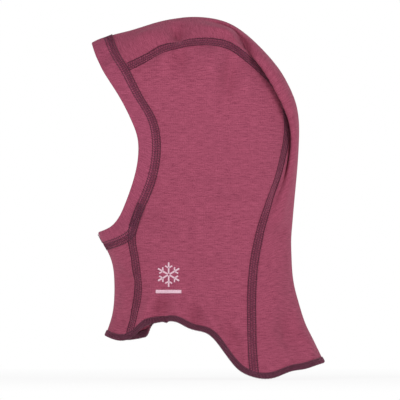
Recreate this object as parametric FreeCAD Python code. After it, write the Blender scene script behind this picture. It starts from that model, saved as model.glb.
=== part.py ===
import FreeCAD, Part
import math
import os

# Child's knitted balaclava, opened out to the size of the head it is made for.
# Millimetres. +Z is up, the face opening looks along -Y, the wearer's left is +X.
# The origin is the middle of the head space.

os.makedirs("parts", exist_ok=True)
Vector = FreeCAD.Vector

# ---------------------------------------------------------------- driving sizes

FABRIC = 1.2            # thickness of the jersey
SEAM_GAP = 0.3          # open line between two butted fabric edges
TAPE_WIDTH = 8.2        # width of a flatlock seam
THREAD = 0.45           # thickness of the thread layer of a seam
THREAD_LIFT = 0.25      # clear space between thread layer and fabric
BAND_FOLD_GAP = 0.3     # space between the two layers of the face band
HEM_DEPTH = 4.7         # how far the overlock reaches up from the fabric edge
HEM_LIFT = 0.6          # clear space between the overlock and the fabric

HEAD_HALF_WIDTH = 64.0
NECK_HALF_WIDTH = 48.0
HEM_HALF_WIDTH = 60.0
BACK_ROUNDING = 62.0    # depth over which the top and back curve in to the middle
THROAT_ROUNDING = 50.0  # the same for the throat
FRONT_TAPER = 0.28      # share of the width lost towards the face

# ---------------------------------------------------------------- side-view lines (y, z)

CROWN_POINTS = [
    (-107.2, 72.2), (-93, 77.8), (-71, 83.6), (-48, 90.6), (-25, 95.6), (4, 95.6), (22, 90.8),
    (43, 76.5), (58.5, 61), (70.5, 46), (79, 31), (85, 16), (88, -2), (88, -20), (86.5, -45),
    (83.8, -74), (81.7, -98), (80.8, -112), (81, -128), (83, -153), (88, -173), (95.2, -195),
    (102.3, -211), (110.5, -228.2),
]
FACE_EDGE_POINTS = [
    (-107.2, 72.2), (-103.6, 61), (-96.4, 46), (-82.2, 23.5), (-70, 0), (-64, -17), (-63.2, -30),
    (-65.1, -46), (-70.4, -65), (-76.5, -81), (-82.6, -93), (-89.8, -100.5), (-100.6, -105.5),
]
THROAT_POINTS = [
    (-100.6, -105.5), (-93.5, -118.5), (-87.5, -133), (-85, -148), (-84.5, -165), (-87.5, -184),
    (-93, -202.6),
]
BAND_SEAM_POINTS = [
    (-91, 78.43), (-86, 65), (-76, 48), (-62.2, 22), (-49.8, 0.5), (-45.6, -20), (-47.6, -46),
    (-55.6, -71), (-64.4, -92), (-69.4, -106.5), (-77.5, -112.6), (-86, -116), (-93.5, -118.5),
]
CROWN_SEAM_POINTS = [
    (-76, 48), (-58.5, 56.2), (-39.5, 65.8), (-18, 71.8), (7, 72.2), (23.5, 68), (38, 58.4),
    (54.5, 43), (68.8, 26.3), (75.4, 7), (76.3, -12), (73.5, -32), (67.8, -56), (58.2, -83),
    (51, -108), (45.8, -136), (43.7, -163), (43.7, -192), (44.8, -223), (46.5, -241.2),
]
THROAT_SEAM_POINTS = [
    (-69.4, -106.5), (-66.2, -127), (-63.3, -151), (-63.2, -168), (-66.8, -185), (-71, -204.2),
]
HEM_POINTS = [
    (-93, -202.6), (-86, -205.4), (-77, -206), (-71, -204.2), (-60.5, -196.7), (-53, -191.4),
    (-44, -188.9), (-34, -188.5), (-26, -189.6), (-17, -193.6), (-8, -197), (1, -199.6), (9, -205),
    (17, -215.5), (25, -226.4), (33, -234.3), (40, -238.8), (46.5, -241.2), (58, -242), (68, -240.1),
    (78, -236.3), (85, -233.9), (96, -232), (110.5, -228.2),
]


class SideLine:
    """A smooth line in the side view, read by the share of its length."""

    STEPS = 600

    def __init__(self, points, inner_side=1):
        self.inner_side = inner_side
        curve = Part.BSplineCurve()
        curve.interpolate([Vector(0, y, z) for y, z in points])
        edge = curve.toShape()
        self.length = edge.Length
        self.samples = edge.discretize(Number=self.STEPS + 1)

    def at(self, share):
        place = min(max(share, 0.0), 1.0) * self.STEPS
        index = min(int(place), self.STEPS - 1)
        rest = place - index
        return self.samples[index] * (1 - rest) + self.samples[index + 1] * rest

    def nearest(self, point):
        return min(range(len(self.samples)), key=lambda i: (self.samples[i] - point).Length)

    def share_of(self, y, z):
        return self.nearest(Vector(0, y, z)) / self.STEPS

    def distance(self, point):
        """Distance from the line and its straight run beyond the ends, below zero outside."""
        index = self.nearest(point)
        best = None
        for start in (index - 1, index):
            if 0 <= start < self.STEPS:
                first = self.samples[start]
                step = self.samples[start + 1] - first
                along = (point - first).dot(step) / step.dot(step)
                if start > 0:
                    along = max(along, 0.0)
                if start < self.STEPS - 1:
                    along = min(along, 1.0)
                offset = point - first - step * along
                if best is None or offset.Length < abs(best):
                    side = self.inner_side * step.cross(offset).x
                    best = math.copysign(offset.Length, side)
        return best


CROWN = SideLine(CROWN_POINTS, -1)
FACE_EDGE = SideLine(FACE_EDGE_POINTS)
THROAT = SideLine(THROAT_POINTS)
BAND_SEAM = SideLine(BAND_SEAM_POINTS)
CROWN_SEAM = SideLine(CROWN_SEAM_POINTS)
THROAT_SEAM = SideLine(THROAT_SEAM_POINTS)
HEM = SideLine(HEM_POINTS)

# ---------------------------------------------------------------- the curved surface


def smooth_step(value):
    value = min(max(value, 0.0), 1.0)
    return value * value * (3 - 2 * value)


def rounding(share):
    """Square of a quarter-ellipse profile: 0 on the middle line, 1 at the side."""
    return 1 - (1 - min(share, 1.0)) ** 2


def width_squared(point):
    """Square of the distance between the middle plane and the fabric."""
    width = HEAD_HALF_WIDTH
    width -= (HEAD_HALF_WIDTH - NECK_HALF_WIDTH) * smooth_step((-30 - point.z) / 95)
    width += (HEM_HALF_WIDTH - NECK_HALF_WIDTH) * smooth_step((-150 - point.z) / 95)
    ahead = max(15 - point.y, 0.0) / 110
    width *= 1 - FRONT_TAPER * ahead ** 2
    back = rounding(CROWN.distance(point) / BACK_ROUNDING)
    return width ** 2 * back * rounding(THROAT.distance(point) / THROAT_ROUNDING)


def lift(point):
    """Place on the left half of the surface above a side-view point."""
    return Vector(math.sqrt(max(width_squared(point), 0.0)), point.y, point.z)


def outward(point):
    """Outward direction of the left half above a side-view point."""
    step = 0.5
    slope_y = width_squared(point + Vector(0, step, 0))
    slope_y -= width_squared(point - Vector(0, step, 0))
    slope_z = width_squared(point + Vector(0, 0, step))
    slope_z -= width_squared(point - Vector(0, 0, step))
    width = lift(point).x
    return Vector(2 * width, -slope_y / (2 * step), -slope_z / (2 * step)).normalize()


# ---------------------------------------------------------------- solids


def close_faces(faces):
    """Sew faces into one closed solid with its volume on the inside."""
    group = Part.makeCompound(faces)
    group.sewShape()
    solid = Part.makeSolid(group.Shells[0])
    if solid.Volume < 0:
        solid.reverse()
    return solid


def sheet(outer, inner):
    """Fabric panel between two grids of points."""
    surfaces = []
    for grid in (outer, inner):
        surface = Part.BSplineSurface()
        surface.interpolate(grid)
        surfaces.append(surface)
    faces = [surface.toShape() for surface in surfaces]
    first_u, last_u, first_v, last_v = surfaces[0].bounds()
    limits = surfaces[1].bounds()
    for number, value in enumerate((first_u, last_u)):
        edges = surfaces[0].uIso(value).toShape(), surfaces[1].uIso(limits[number]).toShape()
        faces.append(Part.makeRuledSurface(*edges))
    for number, value in enumerate((first_v, last_v)):
        edges = surfaces[0].vIso(value).toShape(), surfaces[1].vIso(limits[number + 2]).toShape()
        faces.append(Part.makeRuledSurface(*edges))
    return close_faces(faces)


def railed(sections):
    """Solid that runs through a row of equal polygons."""
    rails = []
    for corner in range(len(sections[0])):
        curve = Part.BSplineCurve()
        curve.interpolate([section[corner] for section in sections])
        rails.append(curve.toShape())
    faces = []
    for number, rail in enumerate(rails):
        faces.append(Part.makeRuledSurface(rail, rails[(number + 1) % len(rails)]))
    for section in (sections[0], sections[-1]):
        faces.append(Part.Face(Part.makePolygon(section + [section[0]])))
    return close_faces(faces)


def mirrored(shape):
    return shape.mirror(Vector(0, 0, 0), Vector(1, 0, 0))


def mirror_point(point):
    return Vector(-point.x, point.y, point.z)


def save(name, shape):
    shape.exportStep("parts/" + name + ".step")


# ---------------------------------------------------------------- panels


def between(line, first, last):
    """The part of a side line between two shares, read from 0 to 1."""
    return lambda share: line.at(first + (last - first) * share)


def coons(u, v, top, bottom, left, right):
    """Side-view point inside four lines; u runs along top and bottom."""
    across = top(u) * (1 - v) + bottom(u) * v
    down = left(v) * (1 - u) + right(v) * u
    upper = top(0) * (1 - u) + top(1) * u
    lower = bottom(0) * (1 - u) + bottom(1) * u
    return across + down - upper * (1 - v) - lower * v


def layer(grid, directions, low=-FABRIC / 2, high=FABRIC / 2):
    """Sheet between two heights above a grid of points."""
    outer = []
    inner = []
    for points, normals in zip(grid, directions):
        outer.append([p + n * high for p, n in zip(points, normals)])
        inner.append([p + n * low for p, n in zip(points, normals)])
    return sheet(outer, inner)


def middle_panel(rows, columns, middle, seam, start, end, spread):
    """Panel across the middle plane, from the left seam to the right one."""
    grid = []
    directions = []
    for i in range(rows):
        u = 0.0008 + 0.9984 * i / (rows - 1)
        reach = 1 - SEAM_GAP / 2 / (seam(u) - middle(u)).Length
        half = []
        normals = []
        for j in range(columns + 1):
            angle = math.radians(spread) * j / columns
            v = reach * (1 - math.cos(angle)) / (1 - math.cos(math.radians(spread)))
            place = coons(u, v, middle, seam, start, end)
            half.append(lift(place) if j else place)
            normals.append(outward(place))
        normals[0].x = 0
        grid.append([mirror_point(p) for p in reversed(half[1:])] + half)
        directions.append([mirror_point(n) for n in reversed(normals[1:])] + normals)
    return grid, directions


band_to_crown = BAND_SEAM.share_of(-76, 48)
band_to_throat = BAND_SEAM.share_of(-69.4, -106.5)
crown_from_band = CROWN.share_of(-91, 78.43)
throat_from_band = THROAT.share_of(-93.5, -118.5)
hem_at_throat = HEM.share_of(-71, -204.2)
hem_at_crown = HEM.share_of(46.5, -241.2)
seam_turn = CROWN_SEAM.share_of(68.8, 26.3)


def side_front(share):
    """Front edge of the side panel: band seam first, then throat seam."""
    upper = (band_to_throat - band_to_crown) * BAND_SEAM.length
    along = share * (upper + THROAT_SEAM.length)
    if along < upper:
        return BAND_SEAM.at(band_to_crown + along / BAND_SEAM.length)
    return THROAT_SEAM.at((along - upper) / THROAT_SEAM.length)


crown = middle_panel(
    56, 8,
    between(CROWN, crown_from_band, 1), between(CROWN_SEAM, 0, 1),
    between(BAND_SEAM, 0, band_to_crown), between(HEM, 1, hem_at_crown), 60,
)
save("crown_back_panel", layer(*crown))

throat = middle_panel(
    22, 9,
    between(THROAT, throat_from_band, 1), between(THROAT_SEAM, 0, 1),
    between(BAND_SEAM, 1, band_to_throat), between(HEM, 0, hem_at_throat), 60,
)
save("throat_panel", layer(*throat))

side_grid = []
side_normals = []
for i in range(32):
    v = 0.0006 + 0.9988 * i / 31
    places = []
    for j in range(24):
        u = 0.0012 + 0.9976 * j / 23
        places.append(coons(
            u, v, between(CROWN_SEAM, 0, seam_turn), between(HEM, hem_at_throat, hem_at_crown),
            side_front, between(CROWN_SEAM, seam_turn, 1),
        ))
    side_grid.append([lift(place) for place in places])
    side_normals.append([outward(place) for place in places])
left_side_panel = layer(side_grid, side_normals)
save("left_side_panel", left_side_panel)
save("right_side_panel", mirrored(left_side_panel))

# ---------------------------------------------------------------- folded face band


def fold_section(reach, inside, thickness, middle):
    """Outline of a layer folded round an edge, as (along, height) corners."""
    corners = [(0, middle + inside + thickness)]
    turns = [math.radians(90 - 30 * step) for step in range(7)]
    for turn in turns:
        radius = inside + thickness
        corners.append((reach + radius * math.cos(turn), middle + radius * math.sin(turn)))
    corners.append((0, middle - inside - thickness))
    corners.append((0, middle - inside))
    for turn in reversed(turns):
        corners.append((reach + inside * math.cos(turn), middle + inside * math.sin(turn)))
    corners.append((0, middle + inside))
    return corners


def box_section(first, last, low, high):
    return [(first, low), (last, low), (last, high), (first, high)]


def place_section(corners, base, along, normal):
    return [base + along * q + normal * r for q, r in corners]


FACE_STEPS = 56


def face_stations():
    """Places round the left half of the face band, forehead to chin."""
    pairs = []
    for step in range(FACE_STEPS + 1):
        share = (1 - math.cos(math.pi * step / FACE_STEPS)) / 2
        seam, edge = lift(BAND_SEAM.at(share)), lift(FACE_EDGE.at(share))
        if step in (0, FACE_STEPS):
            seam, edge = BAND_SEAM.at(share), FACE_EDGE.at(share)
        pairs.append((seam, edge))
    stations = []
    for step, (seam, edge) in enumerate(pairs):
        before = pairs[step - 1] if step else [mirror_point(p) for p in pairs[1]]
        if step < FACE_STEPS:
            after = pairs[step + 1]
        else:
            after = [mirror_point(p) for p in pairs[step - 1]]
        travel = after[0] + after[1] - before[0] - before[1]
        along = (edge - seam).normalize()
        normal = travel.cross(along).normalize() * -1
        stations.append((seam, along, normal, (edge - seam).Length))
    return stations


def ring(sections):
    """Solid round the whole object from sections of its left half."""
    ends = []
    for corner in sections[0]:
        ends.append(corner + Vector(SEAM_GAP / 2, 0, 0))
    left = [ends] + sections[1:]
    right = [[mirror_point(p) for p in section] for section in left]
    return railed(left + list(reversed(right[:-1])))


face = face_stations()
band_sections = []
for seam, along, normal, length in reversed(face):
    inside = BAND_FOLD_GAP / 2
    reach = length - inside - FABRIC - SEAM_GAP / 2
    corners = fold_section(reach, inside, FABRIC, -inside - FABRIC / 2)
    base = seam + along * (SEAM_GAP / 2)
    band_sections.append(place_section(corners, base, along, normal))
save("face_band", ring(band_sections))

# ---------------------------------------------------------------- seam threads

COVER = (FABRIC / 2 + THREAD_LIFT, FABRIC / 2 + THREAD_LIFT + THREAD)
LOOPER = (-COVER[1], -COVER[0])
BAND_BACK = -1.5 * FABRIC - BAND_FOLD_GAP - THREAD_LIFT
BAND_LOOPER = (BAND_BACK - THREAD, BAND_BACK)

for name, (low, high) in (("cover", COVER), ("looper", BAND_LOOPER)):
    corners = box_section(-TAPE_WIDTH / 2, TAPE_WIDTH / 2, low, high)
    sections = []
    for seam, along, normal, length in reversed(face):
        sections.append(place_section(corners, seam, along, normal))
    save("face_seam_" + name, ring(sections))


def seam_tape(line, first, last, steps, heights):
    """Thread layer of the left seam along a side-view line."""
    corners = box_section(-TAPE_WIDTH / 2, TAPE_WIDTH / 2, *heights)
    sections = []
    for step in range(steps + 1):
        share = first + (last - first) * step / steps
        travel = lift(line.at(share + 0.004)) - lift(line.at(share - 0.004))
        place = line.at(share)
        normal = outward(place)
        along = normal.cross(travel).normalize()
        sections.append(place_section(corners, lift(place), along, normal))
    return railed(sections)


TAPE_START = 5.0
THROAT_TAPE_START = 8.0
TAPE_END = HEM_DEPTH + 3.5
SEAMS = (
    ("crown", CROWN_SEAM, TAPE_START, 64),
    ("throat", THROAT_SEAM, THROAT_TAPE_START, 16),
)
for seam_name, line, start, steps in SEAMS:
    for layer_name, heights in (("cover", COVER), ("looper", LOOPER)):
        first = start / line.length
        last = 1 - TAPE_END / line.length
        tape = seam_tape(line, first, last, steps, heights)
        name = seam_name + "_seam_" + layer_name
        save("left_" + name, tape)
        save("right_" + name, mirrored(tape))

# ---------------------------------------------------------------- overlocked hem

HEM_STEPS = 84
hem_places = []
for step in range(HEM_STEPS + 1):
    place = HEM.at((1 + math.cos(math.pi * step / HEM_STEPS)) / 2)
    edge = place if step in (0, HEM_STEPS) else lift(place)
    hem_places.append((edge, outward(place)))
hem_places[0][1].x = 0
hem_places[-1][1].x = 0

hem_corners = fold_section(HEM_DEPTH, FABRIC / 2 + HEM_LIFT, THREAD, 0)
hem_sections = []
for step, (place, normal) in enumerate(hem_places):
    if step == 0:
        travel = Vector(1, 0, 0)
    elif step == HEM_STEPS:
        travel = Vector(-1, 0, 0)
    else:
        travel = hem_places[step + 1][0] - hem_places[step - 1][0]
    along = normal.cross(travel).normalize()
    base = place - along * HEM_DEPTH
    hem_sections.append(place_section(hem_corners, base, along, normal))
save("hem_overlock", ring(hem_sections))

# ---------------------------------------------------------------- join of the band at the chin

JOIN_WIDTH = 5.0
chin, along, normal, length = face[-1]
join = []
for x in (-JOIN_WIDTH / 2, JOIN_WIDTH / 2):
    corners = box_section(TAPE_WIDTH / 2 + 0.6, length - 2.5, *COVER)
    join.append(place_section(corners, chin + Vector(x, 0, 0), along, normal))
save("band_join_stitch", railed(join))

# ---------------------------------------------------------------- care label inside the neck

LABEL_WIDTH = 24.0
LABEL_HEIGHT = 34.0
LABEL_CORNER = Vector(0, 12, -168)
LABEL_HEIGHTS = (-FABRIC / 2 - 0.75, -FABRIC / 2 - 0.35)
label_places = []
for i in range(6):
    row = []
    for j in range(6):
        row.append(LABEL_CORNER + Vector(0, LABEL_WIDTH * j / 5, LABEL_HEIGHT * i / 5))
    label_places.append(row)
label_grid = [[lift(place) for place in row] for row in label_places]
label_normals = [[outward(place) for place in row] for row in label_places]
save("care_label", layer(label_grid, label_normals, *LABEL_HEIGHTS))

# ---------------------------------------------------------------- generic print on the left side

PRINT_THICKNESS = 0.3
PRINT_LIFT = FABRIC / 2 + 0.25
MARK_CENTRE = Vector(0, -34, -145.5)
MARK_RADIUS = 11.5
ARM_WIDTH = 1.7
BAR_CENTRE = Vector(0, -34, -161.5)
BAR_SIZE = (24.0, 3.2)


def flat_bar(length, width, start_x=0.0):
    bar = Part.makeBox(length, width, PRINT_THICKNESS)
    bar.translate(Vector(start_x, -width / 2, 0))
    return bar


def on_left_side(shape, centre):
    """Lay a flat shape on the outside of the left panel, its y axis upright."""
    normal = outward(centre)
    right = Vector(0, 0, 1).cross(normal).normalize()
    up = normal.cross(right)
    turn = FreeCAD.Rotation(right, up, normal, "ZXY")
    placed = shape.copy()
    seat = FreeCAD.Placement(lift(centre) + normal * PRINT_LIFT, turn)
    placed.Placement = seat.multiply(shape.Placement)
    return placed


def snowflake():
    """Six plain arms with one pair of short twigs each."""
    pieces = []
    for arm in range(6):
        spoke = flat_bar(MARK_RADIUS, ARM_WIDTH)
        twigs = []
        for lean in (-60, 60):
            twig = flat_bar(0.34 * MARK_RADIUS, ARM_WIDTH * 0.85)
            twig.rotate(Vector(0, 0, 0), Vector(0, 0, 1), lean)
            twig.translate(Vector(0.56 * MARK_RADIUS, 0, 0))
            twigs.append(twig)
        spoke = spoke.fuse(twigs)
        spoke.rotate(Vector(0, 0, 0), Vector(0, 0, 1), 30 + 60 * arm)
        pieces.append(spoke)
    return pieces[0].fuse(pieces[1:]).removeSplitter()


mark = snowflake()
save("print_mark", on_left_side(mark.Solids[0], MARK_CENTRE))
bar = flat_bar(BAR_SIZE[0], BAR_SIZE[1], -BAR_SIZE[0] / 2)
save("print_bar", on_left_side(bar, BAR_CENTRE))
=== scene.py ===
"""Looks of the child's balaclava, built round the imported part.

Lengths in the modelling sections are millimetres in the part's own frame: +Z is up,
the face looks along -Y and +X is the wearer's left. Meshes are written in metres.
"""

import math

import bpy
import numpy as np
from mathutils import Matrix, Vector


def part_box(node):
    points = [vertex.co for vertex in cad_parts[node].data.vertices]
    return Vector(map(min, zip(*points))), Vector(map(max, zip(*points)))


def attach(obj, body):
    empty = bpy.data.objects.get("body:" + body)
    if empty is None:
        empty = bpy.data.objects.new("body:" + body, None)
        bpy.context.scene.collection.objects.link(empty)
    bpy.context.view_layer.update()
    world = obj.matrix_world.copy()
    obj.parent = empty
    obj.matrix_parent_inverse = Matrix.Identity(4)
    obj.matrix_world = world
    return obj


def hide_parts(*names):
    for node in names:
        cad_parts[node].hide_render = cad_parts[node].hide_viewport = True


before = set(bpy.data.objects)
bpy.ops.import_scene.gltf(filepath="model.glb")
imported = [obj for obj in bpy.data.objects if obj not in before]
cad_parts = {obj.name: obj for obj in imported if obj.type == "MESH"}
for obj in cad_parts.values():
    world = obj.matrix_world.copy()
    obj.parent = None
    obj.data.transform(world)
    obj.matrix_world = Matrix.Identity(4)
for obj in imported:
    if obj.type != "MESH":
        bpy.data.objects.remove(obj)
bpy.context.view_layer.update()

# ---- sizes

FABRIC = 1.1
HALF_CLOTH = FABRIC / 2
HEAD_HALF_WIDTH = 64.0
NECK_HALF_WIDTH = 48.0
HEM_HALF_WIDTH = 60.0
BACK_ROUNDING = 62.0
THROAT_ROUNDING = 50.0
FRONT_TAPER = 0.28
NEEDLE_ROWS = (-3.9, -1.3, 1.3, 3.9)
STITCH = 2.3
WRAP_STEP = 1.35
HEM_DEPTH = 4.6
TAPE_HALF = 4.7
BAND_GAP = 1.75         # between the band seam and the raw edges of the band
BAND_MIDDLE = -0.85     # the band's fold lies this far under the panels' own middle
BAND_INSIDE = 0.25
BAND_CLOTH_THICKNESS = 1.15
BAND_SWELL = 0.55
BAND_END = 0.15         # gap beside the middle plane at each end of the band
LABEL_DROP = 34.0       # length of the label below its stitched edge
BATCH = 4000            # points measured against a line at once

# ---- side-view lines


def mesh_of(rows, columns):
    """Two grids: the row's own value at each place, and the column's."""
    return np.meshgrid(rows, columns, indexing="ij")


def run_length(points, axis=0):
    """Distance from the first of the points that follow each other along an axis."""
    steps = np.linalg.norm(np.diff(points, axis=axis), axis=-1)
    start = np.zeros_like(np.take(steps, [0], axis=axis))
    return np.concatenate([start, np.cumsum(steps, axis=axis)], axis=axis)


def natural_spline(points, count):
    """Evenly spaced places on the natural cubic through a few points."""
    points = np.array(points, float)
    knots = run_length(points)
    size = len(points)
    steps = np.diff(knots)
    system = np.eye(size)
    right = np.zeros((size, 2))
    for i in range(1, size - 1):
        system[i, i - 1:i + 2] = steps[i - 1], 2 * (steps[i - 1] + steps[i]), steps[i]
        slope = (points[i + 1] - points[i]) / steps[i] - (points[i] - points[i - 1]) / steps[i - 1]
        right[i] = 6 * slope
    bend = np.linalg.solve(system, right)
    t = np.linspace(0, knots[-1], 12 * count)
    i = np.clip(np.searchsorted(knots, t) - 1, 0, size - 2)
    step = steps[i][:, None]
    before = (t - knots[i])[:, None]
    after = step - before
    fine = (bend[i] * after ** 3 + bend[i + 1] * before ** 3) / (6 * step)
    fine += (points[i] / step - bend[i] * step / 6) * after
    fine += (points[i + 1] / step - bend[i + 1] * step / 6) * before
    travel = run_length(fine)
    even = np.linspace(0, travel[-1], count)
    return np.stack([np.interp(even, travel, fine[:, k]) for k in range(2)], axis=1), travel[-1]


class SideLine:
    """A smooth line in the side view, read by the share of its length."""

    def __init__(self, points, inner_side=1.0, count=601):
        self.samples, self.length = natural_spline(points, count)
        self.inner_side = inner_side

    def at(self, share):
        place = np.clip(share, 0, 1) * (len(self.samples) - 1)
        index = np.arange(len(self.samples))
        return np.stack([np.interp(place, index, self.samples[:, k]) for k in range(2)], axis=-1)

    def locate(self, points, beyond=False):
        """Signed distance of each point and the nearest share, also from the straight run beyond."""
        batches = range(0, len(points), BATCH)
        return np.concatenate([self.locate_batch(points[k:k + BATCH], beyond) for k in batches], axis=1)

    def locate_batch(self, points, beyond):
        coarse = ((points[:, None] - self.samples[None, ::10]) ** 2).sum(2)
        around = coarse.argmin(1)[:, None] * 10 + np.arange(-10, 11)
        around = np.clip(around, 0, len(self.samples) - 1)
        fine = ((points[:, None] - self.samples[around]) ** 2).sum(2)
        nearest = around[np.arange(len(points)), fine.argmin(1)]
        first, step = self.samples[:-1], np.diff(self.samples, axis=0)
        best = np.full(len(points), np.inf)
        sign, share = np.ones(len(points)), np.zeros(len(points))
        for shift in (-1, 0):
            i = np.clip(nearest + shift, 0, len(first) - 1)
            along = ((points - first[i]) * step[i]).sum(1) / (step[i] ** 2).sum(1)
            along = np.where((along < 0) & ((i > 0) | (not beyond)), 0, along)
            along = np.where((along > 1) & ((i < len(first) - 1) | (not beyond)), 1, along)
            offset = points - first[i] - step[i] * along[:, None]
            length = np.linalg.norm(offset, axis=1)
            better = length < best
            turn = step[i][:, 0] * offset[:, 1] - step[i][:, 1] * offset[:, 0]
            best = np.where(better, length, best)
            sign = np.where(better, np.sign(turn) * self.inner_side, sign)
            share = np.where(better, (i + along) / len(first), share)
        return best * np.where(sign == 0, 1, sign), share


# each line's points are (y, z) in the side view
CROWN = SideLine([
    (-107.2, 72.2), (-93, 77.8), (-71, 83.6), (-48, 90.6), (-25, 95.6), (4, 95.6), (22, 90.8),
    (43, 76.5), (58.5, 61), (70.5, 46), (79, 31), (85, 16), (88, -2), (88, -20), (86.5, -45),
    (83.8, -74), (81.7, -98), (80.8, -112), (81, -128), (83, -153), (88, -173), (95.2, -195),
    (102.3, -211), (110.5, -228.2),
], -1)
FACE_EDGE = SideLine([
    (-107.2, 72.2), (-103.6, 61), (-96.4, 46), (-82.2, 23.5), (-70, 0), (-64, -17), (-63.2, -30),
    (-65.1, -46), (-70.4, -65), (-76.5, -81), (-82.6, -93), (-89.8, -100.5), (-100.6, -105.5),
])
THROAT = SideLine([
    (-100.6, -105.5), (-93.5, -118.5), (-87.5, -133), (-85, -148), (-84.5, -165), (-87.5, -184),
    (-93, -202.6),
])
BAND_SEAM = SideLine([
    (-91, 78.5), (-86, 65), (-76, 48), (-62.2, 22), (-49.8, 0.5), (-45.6, -20), (-47.6, -46),
    (-55.6, -71), (-64.4, -92), (-69.4, -106.5), (-77.5, -112.6), (-86, -116), (-93.5, -118.5),
])
CROWN_SEAM = SideLine([
    (-76, 48), (-58.5, 56.2), (-39.5, 65.8), (-18, 71.8), (7, 72.2), (23.5, 68), (38, 58.4),
    (54.5, 43), (68.8, 26.3), (75.4, 7), (76.3, -12), (73.5, -32), (67.8, -56), (58.2, -83),
    (51, -108), (45.8, -136), (43.7, -163), (43.7, -192), (44.8, -223), (46.5, -241.2),
])
THROAT_SEAM_POINTS = [
    (-69.4, -106.5), (-66.2, -127), (-63.3, -151), (-63.2, -168), (-66.8, -185), (-71, -204.2),
]
THROAT_SEAM = SideLine(THROAT_SEAM_POINTS)
THROAT_STITCH = SideLine([
    (-59.2, -79), (-62.9, -88), (-66.8, -99), (-68.8, -109), *THROAT_SEAM_POINTS[1:],
])
FOLD = SideLine([
    (-12, 92.5), (0, 90.6), (13, 87.3), (23.5, 81.8), (32, 73.5), (40.5, 64.5), (48, 56),
])
HEM = SideLine([
    (-93, -202.6), (-86, -205.4), (-77, -206), (-71, -204.2), (-60.5, -196.7), (-53, -191.4),
    (-44, -188.9), (-34, -188.5), (-26, -189.6), (-17, -193.6), (-8, -197), (1, -199.6), (9, -205),
    (17, -215.5), (25, -226.4), (33, -234.3), (40, -238.8), (46.5, -241.2), (58, -242), (68, -240.1),
    (78, -236.3), (85, -233.9), (96, -232), (110.5, -228.2),
])

# ---- the curved surface


def smooth_step(value):
    value = np.clip(value, 0, 1)
    return value * value * (3 - 2 * value)


def bump(value):
    return np.exp(-value ** 2)


def width_squared(points):
    """Square of the distance between the middle plane and the cloth."""
    y, z = points[:, 0], points[:, 1]
    width = HEAD_HALF_WIDTH - (HEAD_HALF_WIDTH - NECK_HALF_WIDTH) * smooth_step((-30 - z) / 95)
    width = width + (HEM_HALF_WIDTH - NECK_HALF_WIDTH) * smooth_step((-150 - z) / 95)
    width = width * (1 - FRONT_TAPER * (np.maximum(15 - y, 0) / 110) ** 2)
    for line, depth in ((CROWN, BACK_ROUNDING), (THROAT, THROAT_ROUNDING)):
        share = np.minimum(line.locate(points, True)[0] / depth, 1)
        width = width * np.sqrt(np.abs(1 - (1 - share) ** 2)) * np.where(share < 0, -1, 1)
    return width * np.abs(width)


def lift(points):
    flat = points.reshape(-1, 2)
    width = np.sqrt(np.maximum(width_squared(flat), 0))
    return np.column_stack([width, flat]).reshape(points.shape[:-1] + (3,))


def unit(vectors):
    return vectors / np.maximum(np.linalg.norm(vectors, axis=-1, keepdims=True), 1e-9)


def outward(points):
    """Outward direction of the left half above side-view points."""
    flat = points.reshape(-1, 2)
    step = 0.5
    normal = np.zeros((len(flat), 3))
    normal[:, 0] = 2 * np.sqrt(np.maximum(width_squared(flat), 0))
    for k in range(2):
        shift = np.zeros(2)
        shift[k] = step
        slope = width_squared(flat + shift) - width_squared(flat - shift)
        normal[:, k + 1] = -slope / (2 * step)
    return unit(normal).reshape(points.shape[:-1] + (3,))


MIRROR = np.array([-1.0, 1.0, 1.0])

# ---- folds


class Chart:
    """Side-view maps read back by interpolation, one cell a millimetre."""

    LOW = np.array([-128.0, -268.0])
    SIZE = (262, 390)

    def __init__(self):
        y = self.LOW[0] + np.arange(self.SIZE[0])
        z = self.LOW[1] + np.arange(self.SIZE[1])
        places = np.stack(mesh_of(y, z), axis=-1).reshape(-1, 2)
        self.maps = {}
        lines = {
            "crown_seam": CROWN_SEAM, "band_seam": BAND_SEAM, "throat_seam": THROAT_SEAM,
            "hem": HEM, "crown": CROWN, "throat": THROAT, "fold": FOLD,
        }
        for name, line in lines.items():
            distance, share = line.locate(places, name in ("crown", "throat"))
            self.maps[name] = distance.reshape(self.SIZE)
            self.maps[name + "_share"] = share.reshape(self.SIZE)
        normal = outward(places)
        for k, name in enumerate(("normal_x", "normal_y", "normal_z")):
            self.maps[name] = normal[:, k].reshape(self.SIZE)

    def read(self, name, y, z):
        a = np.clip(y - self.LOW[0], 0, self.SIZE[0] - 1.001)
        b = np.clip(z - self.LOW[1], 0, self.SIZE[1] - 1.001)
        i, j = a.astype(int), b.astype(int)
        a, b = a - i, b - j
        values = self.maps[name]
        low = values[i, j] * (1 - a) + values[i + 1, j] * a
        high = values[i, j + 1] * (1 - a) + values[i + 1, j + 1] * a
        return low * (1 - b) + high * b


chart = Chart()


def spread(y, z, centre, sizes, turn=0.0):
    """Soft round or long patch in the side view."""
    turn = math.radians(turn)
    along = (y - centre[0]) * math.cos(turn) + (z - centre[1]) * math.sin(turn)
    across = (z - centre[1]) * math.cos(turn) - (y - centre[0]) * math.sin(turn)
    return bump(along / sizes[0]) * bump(across / sizes[1])


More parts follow.
